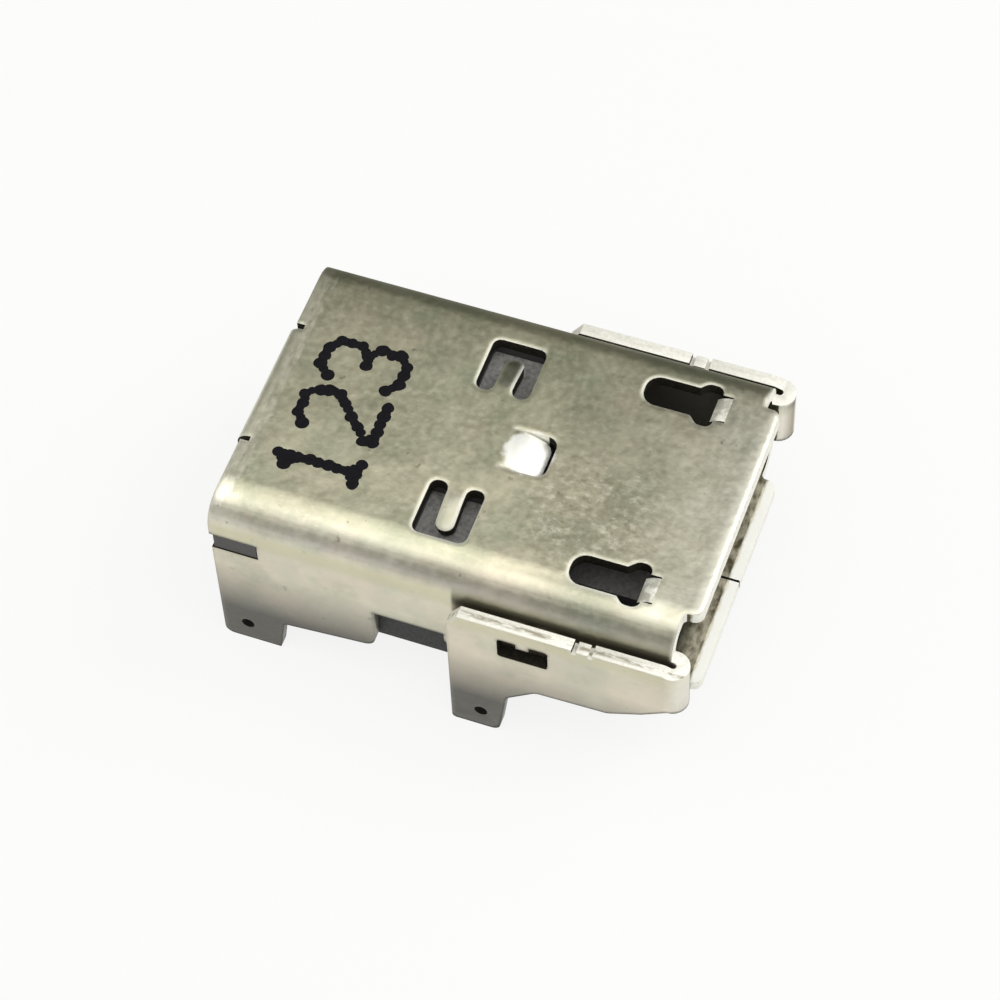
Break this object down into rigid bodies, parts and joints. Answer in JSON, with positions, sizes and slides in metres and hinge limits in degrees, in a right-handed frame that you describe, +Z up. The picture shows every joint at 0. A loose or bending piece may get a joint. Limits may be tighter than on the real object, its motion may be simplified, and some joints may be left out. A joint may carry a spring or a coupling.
{
  "type": "dc power jack",
  "caption": "Flat-mouth DC power jack for a circuit board: a folded sheet-metal shell on solder legs around a plastic housing with a contact tongue.",
  "frame": {"origin": "on the circuit board's face, in the middle of the housing's underside, midway between the two side walls", "axes": "-Y points out of the mouth, +Z up away from the board, +X across the jack"},
  "size_m": [0.0086, 0.0119, 0.005],
  "materials": {
    "plated_steel": "satin plating over sheet, bright cut edges",
    "black_plastic": "moulded, fine matte grain",
    "contact_metal": "plated contact, smooth"
  },
  "bodies": {
    "root": {"shell": "plated_steel", "housing": "black_plastic", "contact_1": "contact_metal", "contact_2": "contact_metal", "contact_3": "contact_metal", "contact_4": "contact_metal", "contact_5": "contact_metal"}
  },
  "joints": []
}
